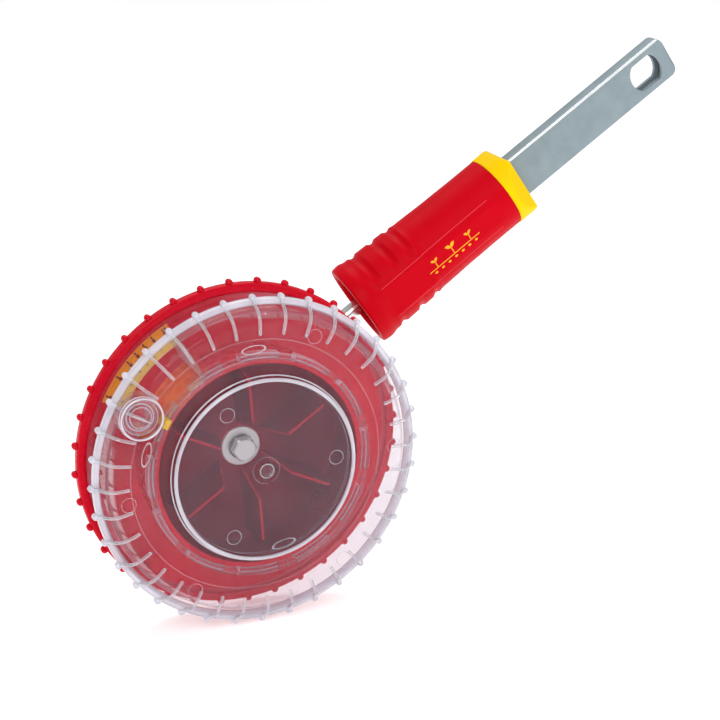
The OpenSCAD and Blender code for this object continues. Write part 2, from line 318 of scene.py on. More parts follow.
def mesh_object(name, part, place):
    """An object with a part's mesh, its faces turned outward."""
    verts, faces = moved(part, place)
    mesh = bpy.data.meshes.new(name)
    mesh.from_pydata(verts, [], faces)
    bm = bmesh.new()
    bm.from_mesh(mesh)
    bmesh.ops.recalc_face_normals(bm, faces=bm.faces)
    bm.to_mesh(mesh)
    bm.free()
    obj = bpy.data.objects.new(name, mesh)
    bpy.context.scene.collection.objects.link(obj)
    return obj


def face_centre(part, face):
    verts, _ = part
    return sum((Vector(verts[i]) for i in face), Vector()) / len(face)


def piece(name, part, place, materials, body, slot, stands_for=(), bevel=0.0, sharp=32,
          pick=None):
    """Makes one object of a part and hangs it under its body's empty. pick chooses a face's
    material from its centre in the part's own frame."""
    chosen = [pick(face_centre(part, face)) for face in part[1]] if pick else []
    obj = mesh_object(name, part, place)
    mesh = obj.data
    for m in materials:
        mesh.materials.append(m)
    for polygon, index in zip(mesh.polygons, chosen):
        polygon.material_index = index
    mesh.shade_smooth()
    mesh.set_sharp_from_angle(angle=radians(sharp))
    mesh.update()
    if bevel:
        add_bevel(obj, bevel)
    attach(obj, body)
    if stands_for:
        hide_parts(*stands_for)
    return obj


def add_bevel(obj, width_mm, segments=2, angle=35):
    mod = obj.modifiers.new("edges", "BEVEL")
    mod.width = width_mm * MM
    mod.segments = segments
    mod.limit_method = "ANGLE"
    mod.angle_limit = radians(angle)
    mod.harden_normals = False


# ---- materials ----

class Nodes:
    """Short calls for building one material's node tree."""

    def __init__(self, name):
        self.material = bpy.data.materials.new(name)
        self.material.use_nodes = True
        self.tree = self.material.node_tree
        self.tree.nodes.clear()
        self.out = self.add("ShaderNodeOutputMaterial")
        self.place = self.add("ShaderNodeTexCoord").outputs["Object"]

    def add(self, kind, **values):
        node = self.tree.nodes.new(kind)
        for key, value in values.items():
            setattr(node, key, value)
        return node

    def link(self, a, b):
        self.tree.links.new(a, b)

    def noise(self, scale, detail=3.0):
        node = self.add("ShaderNodeTexNoise")
        node.inputs["Scale"].default_value = scale
        node.inputs["Detail"].default_value = detail
        self.link(self.place, node.inputs["Vector"])
        return node.outputs["Fac"]

    def ramp(self, value, low, high, from_low=0.3, from_high=0.7):
        node = self.add("ShaderNodeMapRange")
        node.inputs["From Min"].default_value = from_low
        node.inputs["From Max"].default_value = from_high
        node.inputs["To Min"].default_value = low
        node.inputs["To Max"].default_value = high
        self.link(value, node.inputs["Value"])
        return node.outputs["Result"]

    def blend(self, value, low, high):
        node = self.add("ShaderNodeMix", data_type="RGBA")
        self.link(value, node.inputs["Factor"])
        node.inputs["A"].default_value = (*low, 1)
        node.inputs["B"].default_value = (*high, 1)
        return node.outputs["Result"]

    def bump(self, height, strength, distance_mm):
        node = self.add("ShaderNodeBump")
        node.inputs["Strength"].default_value = strength
        node.inputs["Distance"].default_value = distance_mm * MM
        self.link(height, node.inputs["Height"])
        return node.outputs["Normal"]

    def principled(self, **values):
        node = self.add("ShaderNodeBsdfPrincipled")
        for key, value in values.items():
            node.inputs[key.replace("_", " ")].default_value = value
        return node

    def times(self, a, b):
        node = self.add("ShaderNodeMath", operation="MULTIPLY")
        self.link(a, node.inputs[0])
        self.link(b, node.inputs[1])
        return node.outputs["Value"]

    def mix(self, share, under, over):
        """One shader over another by a share."""
        node = self.add("ShaderNodeMixShader")
        self.link(share, node.inputs["Fac"])
        self.link(under, node.inputs[1])
        self.link(over, node.inputs[2])
        return node.outputs["Shader"]

    def finish(self, shader):
        self.link(shader, self.out.inputs["Surface"])
        return self.material


def plastic(name, dark, light, rough=(0.22, 0.32), grain=0.25, gloss=0.2):
    """Moulded plastic: slight flow mottle in the colour, uneven gloss and a fine skin."""
    n = Nodes(name)
    bsdf = n.principled(IOR=1.5, Specular_IOR_Level=gloss)
    flow = n.ramp(n.noise(55, 4), 0, 1)
    n.link(n.blend(flow, dark, light), bsdf.inputs["Base Color"])
    n.link(n.ramp(n.noise(240, 3), *rough), bsdf.inputs["Roughness"])
    n.link(n.bump(n.noise(1500, 2), grain, 0.012), bsdf.inputs["Normal"])
    return n.finish(bsdf.outputs["BSDF"])


def metal(name, dark, light, rough=(0.25, 0.4), grain=0.3, metallic=1.0, scale=900):
    """Plated or galvanised steel: cloudy colour, uneven polish and fine grain."""
    n = Nodes(name)
    bsdf = n.principled(Metallic=metallic, IOR=1.5)
    cloud = n.ramp(n.noise(130, 5), 0, 1)
    n.link(n.blend(cloud, dark, light), bsdf.inputs["Base Color"])
    n.link(n.ramp(n.noise(350, 4), *rough), bsdf.inputs["Roughness"])
    n.link(n.bump(n.noise(scale, 3), grain, 0.02), bsdf.inputs["Normal"])
    return n.finish(bsdf.outputs["BSDF"])


def clear(name, veil, edge, shine_share, start=0.5, tint=(0.99, 0.97, 0.985),
          body=(0.93, 0.91, 0.97)):
    """Clear moulded plastic. veil is how much milk it shows face on and edge how much edge on,
    from the facing value start. shine_share scales its mirror reflection."""
    n = Nodes(name)
    through = n.add("ShaderNodeBsdfTransparent")
    through.inputs["Color"].default_value = (*tint, 1)
    milk = n.principled(Roughness=0.35, IOR=1.45)
    n.link(n.blend(n.ramp(n.noise(90, 3), 0, 1), tuple(0.94 * v for v in body), body),
           milk.inputs["Base Color"])
    facing = n.add("ShaderNodeLayerWeight")
    facing.inputs["Blend"].default_value = 0.5
    smoke = n.times(n.ramp(facing.outputs["Facing"], veil, edge, start, 1.0),
                    n.ramp(n.noise(70, 4), 0.82, 1.12))
    shell = n.mix(smoke, through.outputs["BSDF"], milk.outputs["BSDF"])
    shine = n.add("ShaderNodeBsdfGlossy")
    shine.inputs["Roughness"].default_value = 0.06
    n.link(n.bump(n.noise(160, 3), 0.12, 0.12), shine.inputs["Normal"])
    fresnel = n.add("ShaderNodeFresnel")
    fresnel.inputs["IOR"].default_value = 1.45
    share = n.ramp(fresnel.outputs["Fac"], 0, shine_share, 0, 1)
    return n.finish(n.mix(share, shell, shine.outputs["BSDF"]))


RED = plastic("red_plastic", (0.56, 0.001, 0.014), (0.62, 0.002, 0.018), gloss=0.12)
# Painted shade: a darker copy of the red for the well floor, the tube's inner wall and the
# vanes' sides
RED_PAINTED_SHADE = plastic("red_plastic_painted_shade", (0.29, 0.001, 0.01), (0.34, 0.002, 0.013),
                    grain=0.0, gloss=0.0)
RED_GRIP = plastic("red_grip_plastic", (0.53, 0.0, 0.007), (0.57, 0.0, 0.009),
                   rough=(0.4, 0.5), grain=0.35, gloss=0.05)
# Painted highlight: a lighter, glossier red for the ridges along the grip's panel edges
RED_PAINTED_HIGHLIGHT = plastic("red_painted_highlight_line", (0.66, 0.03, 0.05), (0.74, 0.05, 0.07), gloss=0.3)
YELLOW = plastic("yellow_plastic", (0.88, 0.55, 0.0), (0.93, 0.6, 0.0), rough=(0.4, 0.5),
                 gloss=0.06)
ORANGE = plastic("orange_film", (0.95, 0.36, 0.0), (1.0, 0.43, 0.0), rough=(0.35, 0.5))
AMBER = plastic("amber_film", (0.97, 0.55, 0.0), (1.0, 0.63, 0.01), rough=(0.35, 0.5))
INK = plastic("black_ink", (0.006, 0.006, 0.006), (0.014, 0.013, 0.012), rough=(0.4, 0.5))
MARK = plastic("orange_ink", (0.9, 0.38, 0.01), (1.0, 0.47, 0.02), rough=(0.35, 0.5))
DARK = plastic("dark_nylon", (0.018, 0.018, 0.02), (0.035, 0.034, 0.036), rough=(0.45, 0.6),
               grain=0.5)
ZINC = metal("zinc_plate", (0.84, 0.95, 0.8), (0.92, 1.0, 0.86), rough=(0.3, 0.4),
             metallic=0.45, grain=0.12)
BRIGHT = metal("bright_zinc", (0.7, 0.71, 0.72), (0.8, 0.81, 0.82), rough=(0.12, 0.2),
               grain=0.15)
GREY = metal("grey_steel", (0.21, 0.265, 0.29), (0.25, 0.31, 0.335), rough=(0.4, 0.5),
             metallic=0.3, grain=0.25, scale=1400)
# Painted highlight: a near-white, glossier grey for the tongue's front upper corner
GREY_PAINTED_HIGHLIGHT = metal("painted_edge_highlight", (0.85, 0.9, 0.92), (0.95, 0.97, 0.98), rough=(0.2, 0.3),
                  metallic=0.5, grain=0.1)
ZINC_DARK = metal("oiled_spring_steel", (0.17, 0.2, 0.19), (0.28, 0.31, 0.29),
                  rough=(0.22, 0.34), grain=0.2)
PIN = metal("pin_steel", (0.16, 0.16, 0.165), (0.25, 0.25, 0.26), rough=(0.3, 0.45))
BRASS = metal("brass", (0.62, 0.41, 0.16), (0.76, 0.54, 0.26), rough=(0.18, 0.3))
CLEAR_WALL = clear("clear_wall", 0.02, 0.4, 0.32, start=0.72, tint=(0.98, 0.985, 1.0),
                   body=(0.84, 0.78, 1.0))
# Painted shade: the crown's greyer tint darkens the well seen through it
CLEAR_CROWN_PAINTED_SHADE = clear("clear_crown_painted_shade", 0.035, 0.4, 0.36, start=0.72, tint=(0.86, 0.83, 0.87),
                    body=(0.84, 0.74, 0.92))
CLEAR_BAND = clear("clear_band", 0.6, 0.9, 0.9, start=0.2, body=(0.85, 0.85, 0.95))
CLEAR_RIB = clear("clear_rib", 0.2, 0.95, 0.9, start=0.2)
CLEAR_LINE = clear("clear_line", 0.012, 0.6, 0.45, start=0.66)
CLEAR_MARK = clear("clear_mark", 0.3, 0.85, 0.9, start=0.2)
# Painted highlight: a whiter, milkier clear for bright lines on edges and glints on the fingers'
# cut ends
CLEAR_PAINTED_HIGHLIGHT = clear("clear_painted_highlight", 0.5, 0.85, 1.0, start=0.2, body=(0.95, 0.9, 0.99))


def red_with_painted_reflection():
    """The tube's outer wall, with a painted reflection of the scale's orange beside it blended
    into the red.
    """
    n = Nodes("red_plastic_painted_scale_reflection")
    bsdf = n.principled(IOR=1.5, Specular_IOR_Level=0.12)
    toward = n.add("ShaderNodeVectorMath", operation="DOT_PRODUCT")
    n.link(n.place, toward.inputs[0])
    angle = radians(100)
    toward.inputs[1].default_value = ALONG * cos(angle) + ACROSS * sin(angle)
    # painted reflection: orange mixed into the base colour on the side that faces the scale
    painted_reflection_reach = n.ramp(toward.outputs["Value"], 0, 0.75, 44.5 * MM, 47.4 * MM)
    uneven = n.times(painted_reflection_reach, n.ramp(n.noise(120, 3), 0.75, 1.1))
    n.link(n.blend(uneven, (0.56, 0.001, 0.014), (0.85, 0.16, 0.008)), bsdf.inputs["Base Color"])
    n.link(n.ramp(n.noise(240, 3), 0.22, 0.32), bsdf.inputs["Roughness"])
    return n.finish(bsdf.outputs["BSDF"])


RED_PAINTED_REFLECTION = red_with_painted_reflection()


# ---- the wheel's red disc ----

def red_disc():
    tube_in = TUBE_R - TUBE_WALL
    bore = BUSH_R + 0.05
    groove_lo, groove_hi, groove_r = 9.7, 11.9, TUBE_R - 0.9
    step_r = SKIRT_R + 0.4
    hub_front = FLOOR_C + 0.2
    back = FLOOR_C - PLATE
    ring_in, ring_out, ring_back = 56.6, 58, back - 3.2
    outline = filleted([
        (bore, hub_front, 0.3), (HUB_R, hub_front, 0.15), (HUB_R + 0.2, FLOOR_C, 0.1),
        (tube_in, FLOOR_C, 0.8), (tube_in, TUBE_TOP, 0.5), (TUBE_R, TUBE_TOP, 0.5),
        (TUBE_R, groove_hi, 0.15), (groove_r, groove_hi, 0.15), (groove_r, groove_lo, 0.15),
        (TUBE_R, groove_lo, 0.15), (TUBE_R, FLOOR_C, 0.8), (step_r, FLOOR_C, 0.2),
        (step_r, RIM_FRONT, 0.3), (RIM_R, RIM_FRONT, 0.9), (RIM_R, RIM_BACK, 0.9),
        (step_r, RIM_BACK, 0.5), (step_r, back, 0.4), (ring_out, back, 0.3),
        (ring_out, ring_back, 0.3), (ring_in, ring_back, 0.3), (ring_in, back, 0.3),
        (HUB_R, back, 0.6), (HUB_R, DISC_BACK, 0.6), (bore, DISC_BACK, 0.3)])
    lug = shifted(capsule(1.55, RIM_BACK + 0.1, RIM_FRONT - 0.1, 20, 4), LUG_TIP - 1.65)
    return joined([lathe(outline, 288), *repeated(lug, TREADS, LUG_PHASE), outlet_lip()])


def outlet_lip():
    """The curved lip with the seed window, inside the cover's stepped notches."""
    out_r = SKIRT_R - WALL - 0.3
    in_r = out_r - 1.4
    foot, window_top, top = FLOOR_C - SINK, FLOOR_C + 9.5, 1
    lip = filleted([(in_r, foot, 0), (out_r, foot, 0), (out_r, top, 0.3), (in_r, top, 0.3)], 3)
    over = filleted([(in_r, window_top, 0.1), (out_r, window_top, 0.1), (out_r, top, 0.3),
                     (in_r, top, 0.3)], 3)
    window_lo, window_hi = OUTLET_ANGLE - SETTING_STEP / 2, OUTLET_ANGLE + SETTING_STEP / 2
    return joined([lathe(lip, 60, OUTLET_ANGLE - OUTLET_HALF, window_lo),
                   lathe(over, 10, window_lo, window_hi),
                   lathe(lip, 60, window_hi, OUTLET_ANGLE + OUTLET_HALF)])


def vanes():
    """Six blades in the centre well and six ribs on the disc's back."""
    foot = FLOOR_C - SINK
    blade = filleted([(VANE_FOOT, foot, 0), (VANE_END + 2.5, foot, 0), (VANE_END, VANE_TOP, 1.2),
                      (VANE_HEAD, VANE_TOP, 0.8)], 4)
    root, edge = FLOOR_C - PLATE + SINK, FLOOR_C - PLATE - BACK_RIB_HIGH
    rib = [(HUB_R - 1, root), (HUB_R - 1, edge), (BACK_RIB_R, edge), (BACK_RIB_R, root)]
    pair = joined([outline_part(blade, VANE_HALF), outline_part(rib, VANE_HALF)])
    return joined(repeated(pair, VANES))


def disc_face(p):
    """Painted shade (darker red) inside the well, a painted orange reflection of the scale on
    the tube's outer wall, plain red elsewhere.
    """
    r = math.hypot(p.x, p.y)
    if FLOOR_C - 0.5 < p.z < TUBE_TOP - 2 and HUB_R + 0.1 < r < TUBE_R - TUBE_WALL + 0.4:
        return 1
    if FLOOR_C < p.z < TUBE_TOP - 0.5 and TUBE_R - 1 < r < TUBE_R + 0.6:
        return 2
    return 0


def vane_face(p):
    """Painted shade (darker red) on a vane's sides, plain red on its edges."""
    step = 2 * pi / VANES
    turn = math.atan2(p.y, p.x) % step
    off = math.hypot(p.x, p.y) * min(turn, step - turn)
    return 1 if off > VANE_HALF - 0.1 and p.z > FLOOR_C else 0


piece("red_disc", red_disc(), WHEEL, [RED, RED_PAINTED_SHADE, RED_PAINTED_REFLECTION], "wheel", "red_plastic",
      ["rear_disc"], pick=disc_face)
piece("disc_vanes", vanes(), WHEEL, [RED, RED_PAINTED_SHADE], "wheel", "red_plastic", bevel=0.25,
      pick=vane_face)


# ---- the setting scale ----

def scale_film():
    outline = [(LABEL_IN, LABEL_BACK), (LABEL_OUT, LABEL_BACK), (LABEL_OUT, LABEL_FRONT),
               (LABEL_SPLIT, LABEL_FRONT), (LABEL_IN, LABEL_FRONT)]
    return lathe(outline, 60, LABEL_FROM, LABEL_TO)


def arrow(length=3.9, head=1.9, half=1.05, stem=0.34):
    """An arrow that points to the axle, its tip at the origin."""
    return prism([(0, 0), (head, -half), (head, -stem), (length, -stem), (length, stem),
                  (head, stem), (head, half)], 0, INK_HIGH)


def digit(text, size):
    curve = bpy.data.curves.new("digit", "FONT")
    curve.body = text
    curve.size = size
    curve.align_x = "CENTER"
    curve.align_y = "CENTER"
    curve.extrude = 0.012
    obj = bpy.data.objects.new("digit", curve)
    bpy.context.scene.collection.objects.link(obj)
    mesh = bpy.data.meshes.new_from_object(obj)
    part = ([v.co.copy() for v in mesh.vertices], [tuple(p.vertices) for p in mesh.polygons])
    bpy.data.objects.remove(obj)
    bpy.data.meshes.remove(mesh)
    return part


def scale_marks():
    """An arrow and a digit for each setting, and the start lines of the film."""
    parts = []
    upright = Matrix.Rotation(-pi / 2, 4, "Z")
    for i, angle in enumerate(ARROW_ANGLES):
        parts.append(turned(shifted(arrow(), ARROW_R, 0, LABEL_FRONT), angle))
        for r, size, offset in ((ARROW_R, 2.2, 1.95), (DIGIT_R, 2.4, 0.0)):
            number = moved(digit(str(i + 1), size), upright)
            parts.append(turned(shifted(number, r, 0, LABEL_FRONT + 0.013), angle + offset))
    line = box_part(LINE_R, LINE_R + 4.6, -0.25, 0.25, LABEL_FRONT, LABEL_FRONT + INK_HIGH)
    for angle in (LABEL_FROM + 1.6, LABEL_FROM + 2.7):
        parts.append(turned(line, angle))
    return joined(parts)


piece("scale_film", scale_film(), WHEEL, [ORANGE, AMBER], "wheel", "orange_label",
      ["scale_label"], pick=lambda p: 1 if math.hypot(p.x, p.y) < LABEL_SPLIT - 1 else 0)
piece("scale_marks", scale_marks(), WHEEL, [INK], "wheel", "orange_label")


# ---- the clear cover ----

def notch_depth(angle):
    """Height of the outlet notches in the cup wall's edge at an angle."""
    step = math.floor((angle - OUTLET_ANGLE) / SETTING_STEP + 0.5)
    return (step + 1) * NOTCH_STEP if 0 <= step < SETTINGS else 0.0


def cover_wall():
    """The cup: crown, face, shoulder and skirt, with the stepped notches in the skirt's edge."""
    inner = FACE_C - WALL
    outline = filleted([
        (0.01, CROWN_C, 0), (CROWN_R, CROWN_C, 0.6), (CROWN_R + 1, FACE_C, 0.5),
        (66, FACE_C, 3), (70.2, 16, 4), (71.6, BAND_HI - 0.6, 1), (SKIRT_R, BAND_LO + 1, 0.5),
        (SKIRT_R, COVER_END, 0.4), (SKIRT_R - WALL, COVER_END, 0.4),
        (SKIRT_R - WALL, BAND_HI, 4), (65.2, inner, 3), (CROWN_R - WALL, inner, 0.5),
        (CROWN_R - WALL, CROWN_C - WALL, 0.5), (0.01, CROWN_C - WALL, 0)], 5)
    verts, faces = lathe(outline, 720)
    edge = COVER_END + 0.5
    for v in verts:
        if v.z < edge:
            v.z += notch_depth(math.degrees(math.atan2(v.y, v.x)) % 360)
    return verts, faces


def cover_band():
    outline = filleted([(SKIRT_R - 0.1, BAND_LO, 0.3), (BAND_R, BAND_LO, 0.7),
                        (BAND_R, BAND_HI, 0.9), (71.0, BAND_HI, 0.3)], 5)
    return lathe(outline, 288)


# Milky lines along the band's edges: painted highlights.
def band_edges():
    return joined([torus(BAND_R - 0.35, 0.28, BAND_HI - 0.2, 288, 8),
                   torus(71.5, 0.24, BAND_HI, 288, 8),
                   torus(BAND_R - 0.25, 0.24, BAND_LO + 0.3, 288, 8)])


def cover_ribs():
    """The ribs over the shoulder, each ending in a knob on the tread."""
    path = [Vector((x, 0, z)) for x, z in (
        (BAND_R - 0.4, BAND_HI + 0.1), (72.6, 13.4), (71.6, 14.4), (70.7, 16.4), (69.4, 18.3),
        (67.6, 19.7), (66.2, 20.15), (64, 20.2), (61.4, 20.15), (60.7, 20.0), (60.2, 19.7))]
    rib = tube(path, 1.35, 1.7, 12)
    knob_r = 1.45
    knob = shifted(capsule(knob_r, BAND_LO - 0.4, BAND_HI + 0.8, 18, 5), NUB_TIP - knob_r)
    return joined(repeated(joined([rib, knob]), TREADS, RIB_PHASE))


def slot_angles():
    """The middle of each slot between the spring fingers."""
    return [SLOT_PHASE + i * FINGER_STEP for i in range(FINGERS)]


def snap_ring():
    """The castellated ring of spring fingers inside the cover."""
    top = FACE_C - WALL + 0.2
    root = FINGER_ROOT + 0.1
    bridge = filleted([(RING_IN, FINGER_ROOT, 0.1), (RING_OUT, FINGER_ROOT, 0.1),
                       (RING_OUT, top, 0), (RING_IN, top, 0)], 2)
    finger = filleted([(RING_IN, FINGER_END, 0.4), (RING_OUT, FINGER_END, 0.4),
                       (RING_OUT, root, 0), (RING_IN, root, 0), (RING_IN, 11.6, 0),
                       (RING_IN - 0.8, 11.3, 0.2), (RING_IN - 0.8, 10.2, 0.2)], 3)
    parts = []
    for slot in slot_angles():
        parts.append(lathe(bridge, 30, slot, slot + FINGER_STEP))
        parts.append(lathe(finger, 24, slot + SLOT_HALF, slot + FINGER_STEP - SLOT_HALF))
    return joined(parts)


def ring_edges():
    """Milky lines on the spring fingers' moulded edges: painted highlights."""
    parts = []
    for slot in slot_angles():
        lo, hi = radians(slot + SLOT_HALF + 0.5), radians(slot + FINGER_STEP - SLOT_HALF - 0.5)
        turns = [lo + (hi - lo) * k / 21 for k in range(22)]
        for r in (RING_IN + 0.2, RING_OUT - 0.2):
            arc = [Vector((r * cos(t), r * sin(t), FINGER_ROOT - 0.1)) for t in turns]
            parts.append(tube(arc, 0.42, 0.42, 8, Vector((0, 0, 1))))
    return joined(parts)


def finger_face(p):
    """Painted glints: the whiter, milkier clear on the cut ends of the spring fingers."""
    past_slot = math.degrees(math.atan2(p.y, p.x)) - SLOT_PHASE
    from_slot = (past_slot + FINGER_STEP / 2) % FINGER_STEP - FINGER_STEP / 2
    return 1 if abs(abs(from_slot) - SLOT_HALF) < 0.05 and p.z < FINGER_ROOT - 0.5 else 0


def at_filler(part):
    return turned(shifted(part, FILLER_POS), FILLER_ANGLE)


def filler_boss():
    """The boss: a round wall, a floor with the filler hole and a collar under the hole."""
    inner, collar_r = BOSS_R - BOSS_WALL, HOLE_R + BOSS_WALL
    under, foot = BOSS_FLOOR - BOSS_WALL, BOSS_FOOT + 0.2
    rim = filleted([(inner, foot, 0.3), (BOSS_R, foot, 0.3), (BOSS_R, BOSS_TOP, 0.5),
                    (inner, BOSS_TOP, 0.5), (inner, BOSS_FLOOR, 0.3), (HOLE_R, BOSS_FLOOR, 0.3),
                    (HOLE_R, BOSS_FOOT, 0.3), (collar_r, BOSS_FOOT, 0.3), (collar_r, under, 0.3),
                    (inner, under, 0.3)], 4)
    return at_filler(lathe(rim, 96))


def filler_rings():
    """Milky rings on the filler boss's rolled edges and round its hole: painted highlights."""
    return at_filler(joined([torus(BOSS_R - 0.5, 0.42, BOSS_TOP - 0.1, 72, 10),
                             torus(BOSS_R - 0.1, 0.3, FACE_C + 0.1, 72, 8),
                             torus(HOLE_R + 0.7, 0.36, BOSS_FLOOR + 0.1, 64, 10)]))


def crown_highlight_rings():
    """Two milky rings at the raised centre disc's step: the step's edge, made whitish as a
    painted highlight.
    """
    return joined([torus(CROWN_R + 0.9, 0.32, FACE_C + 0.4, 288, 10),
                   torus(CROWN_R - 0.5, 0.85, CROWN_C - 0.35, 288, 14)])


def sprue():
    """The moulding pip at the cover's centre, on its step."""
    foot, step = CROWN_C - 0.2, CROWN_C + 0.7
    outline = filleted([(0.01, foot, 0), (3.5, foot, 0), (3.5, step, 0.3),
                        (1.75, step + 0.1, 0.3), (1.5, SPRUE_TOP, 0.4), (0.01, SPRUE_TOP, 0)], 4)
    return lathe(outline, 48)


def cover_lines():
    """Fine moulded lines: ejector rings, sprue rings and gate ovals."""
    parts = [torus(6.0, 0.06, CROWN_C, 96, 6), torus(3.1, 0.22, CROWN_C + 0.75, 64, 8)]
    for angle in (33, 153, 204, 273, 327):
        parts.append(turned(shifted(torus(3.2, 0.1, FACE_C, 48, 6), 61), angle))
    for angle in (88, 208, 328):
        parts.append(turned(shifted(torus(3.2, 0.13, CROWN_C, 48, 6), 32.3), angle))
    for angle, r, z in ((60, 54, FACE_C), (131, 54, FACE_C), (248, 36, CROWN_C)):
        oval = moved(torus(5.2, 0.42, z, 64, 10, 0.8), Matrix.Diagonal((1, 0.34, 1, 1)))
        parts.append(turned(shifted(turned(oval, 90), r), angle))
    parts.append(shifted(torus(56.5, 0.07, FACE_C, 288, 6), -1.5, 3.0))
    return joined(parts)


def partition():
    """The radial wall that closes one side of the seed chamber."""
    wall = box_part(RING_OUT - 0.2, SKIRT_R - WALL + 0.2, -0.6, 0.6, FLOOR_C + 0.7,
                    FACE_C - WALL + 0.2)
    return turned(wall, 86)


# the crown's faces take the greyer tint: painted shade over the well
def crown_face(p):
    return 1 if math.hypot(p.x, p.y) < CROWN_R - WALL + 0.1 else 0


def knob_face(p):
    return 1 if math.hypot(p.x, p.y) > 72.5 else 0


def cover_piece(name, part, materials, **options):
    piece(name, part, WHEEL, materials, "cover", "clear_plastic", **options)


cover_piece("cover_wall", cover_wall(), [CLEAR_WALL, CLEAR_CROWN_PAINTED_SHADE], stands_for=["clear_cover"],
            pick=crown_face)
cover_piece("cover_sprue", sprue(), [CLEAR_LINE])
cover_piece("cover_band", cover_band(), [CLEAR_BAND])
cover_piece("cover_band_edges", band_edges(), [CLEAR_PAINTED_HIGHLIGHT])
cover_piece("cover_ribs", cover_ribs(), [CLEAR_RIB, CLEAR_BAND], pick=knob_face)
cover_piece("cover_snap_ring", snap_ring(), [CLEAR_LINE, CLEAR_PAINTED_HIGHLIGHT], pick=finger_face)
cover_piece("snap_ring_edges", ring_edges(), [CLEAR_MARK])
cover_piece("filler_boss", filler_boss(), [CLEAR_LINE])
cover_piece("filler_boss_edges", filler_rings(), [CLEAR_PAINTED_HIGHLIGHT])
cover_piece("cover_crown_highlight_rings", crown_highlight_rings(), [CLEAR_PAINTED_HIGHLIGHT])
cover_piece("cover_mould_lines", cover_lines(), [CLEAR_MARK])
cover_piece("cover_partition", partition(), [CLEAR_LINE], bevel=0.15)


def click_key():
    """The yellow piece let into the snap ring."""
    inner, outer, half = RING_IN - 0.15, RING_OUT + 0.15, 2.15
    body = prism(filleted([(inner, -half, 0.3), (outer, -half, 0.6), (outer, half, 0.6),
                           (inner, half, 0.3)], 3), 10.3, FACE_C - WALL - 0.1)
    return turned(body, 115)


def filler_plug():
    """The stopper: a cap, a skirt that fits the hole and a web for the fingers."""
    under, top, web_top = BOSS_FLOOR + 0.05, BOSS_FLOOR + 1.2, BOSS_FLOOR + 4
    cap = filleted([(0.01, under, 0), (7.85, under, 0.2), (7.85, top, 0.5), (0.01, top, 0)], 4)
    skirt_in, skirt_out = HOLE_R - 1.2, HOLE_R - 0.1
    foot, root = BOSS_FOOT + 0.5, BOSS_FLOOR + 0.3
    skirt = filleted([(skirt_in, foot, 0.3), (skirt_out, foot, 0.5), (skirt_out, root, 0),
                      (skirt_in, root, 0)], 4)
    web = filleted([(-5.5, top - 0.3, 0), (5.5, top - 0.3, 0), (4.6, web_top, 1.2),
                    (-4.6, web_top, 1.2)], 4)
    return at_filler(joined([lathe(cap, 64), lathe(skirt, 64), outline_part(web, 0.55)]))


def stopper_edges():
    """Milky lines on the stopper's rim, its skirt and along its finger web: painted highlights.
    """
    web = tube([Vector((x, 0, BOSS_FLOOR + 3.9)) for x in (-4.4, 0, 4.4)], 0.5, 0.5, 8)
    rings = [torus(7.6, 0.22, BOSS_FLOOR + 1.15, 64), torus(4.6, 0.26, BOSS_FLOOR + 1.2, 64)]
    return at_filler(joined([*rings, web]))


piece("click_key_body", click_key(), WHEEL, [YELLOW], "cover", "yellow_plastic", ["click_key"],
      bevel=0.2)
piece("filler_stopper", filler_plug(), WHEEL, [CLEAR_LINE], "plug", "clear_plastic",
      ["filler_plug"])
piece("stopper_edges", stopper_edges(), WHEEL, [CLEAR_MARK], "plug", "clear_plastic")


# ---- axle hardware ----

def hex_head(lo, hi, front=True):
    """A hexagon whose outer face is chamfered to a circle."""
    rows, sides = 7, 48
    verts = []
    for k in range(rows):
        share = k / (rows - 1)
        z = lo + (hi - lo) * share
        from_face = (1 - share) * (hi - lo) if front else share * (hi - lo)
        limit = HEX / 2 - 0.25 + from_face * 1.7
        for i in range(sides):
            t = 2 * pi * i / sides
            flat = HEX / 2 / cos((t + pi / 6) % (pi / 3) - pi / 6)
            r = min(flat, limit)
            verts.append(Vector((r * cos(t), r * sin(t), z)))
    return verts, stack_faces(rows, sides)


def washer_outline(bore, outer, lo, hi, soft_lo, soft_hi, soft_bore=0.1):
    return filleted([(bore, lo, soft_bore), (outer, lo, soft_lo), (outer, hi, soft_hi),
                     (bore, hi, soft_bore)], 4)


def washer(node, bore, outer, soft=0.35):
    lo, hi = depths(node)
    return lathe(washer_outline(bore, outer, lo, hi, soft, soft), 96)


def axle_bolt():
    """The hexagon-head bolt, its thread drawn as grooves from thread_top down."""
    head_lo = HEAD_FRONT - HEAD_HIGH
    hex_lo, face_r = head_lo + 0.4, HEX / 2 - 0.1
    collar = lathe(filleted([(0.01, head_lo, 0), (face_r, head_lo, 0.1), (face_r, hex_lo, 0.2),
                             (0.01, hex_lo + 0.1, 0)], 3), 64)
    thread_top, pitch, depth = -24.0, 1.0, 0.3
    shank = [(0.01, hex_lo), (BOLT_R, hex_lo), (BOLT_R, thread_top)]
    z = thread_top
    while z - pitch > BOLT_END + 0.6:
        shank += [(BOLT_R, z - 0.15), (BOLT_R - depth, z - 0.5), (BOLT_R, z - 0.85)]
        z -= pitch
    shank += [(BOLT_R, BOLT_END + 0.5), (BOLT_R - 0.5, BOLT_END), (0.01, BOLT_END)]
    crown = lathe(filleted([(0.01, HEAD_FRONT - 0.3, 0), (4.6, HEAD_FRONT - 0.3, 0),
                            (4.4, HEAD_FRONT, 0.25), (0.01, HEAD_FRONT, 0)], 3), 64)
    return joined([hex_head(hex_lo, HEAD_FRONT - 0.12), collar, lathe(shank, 48), crown])


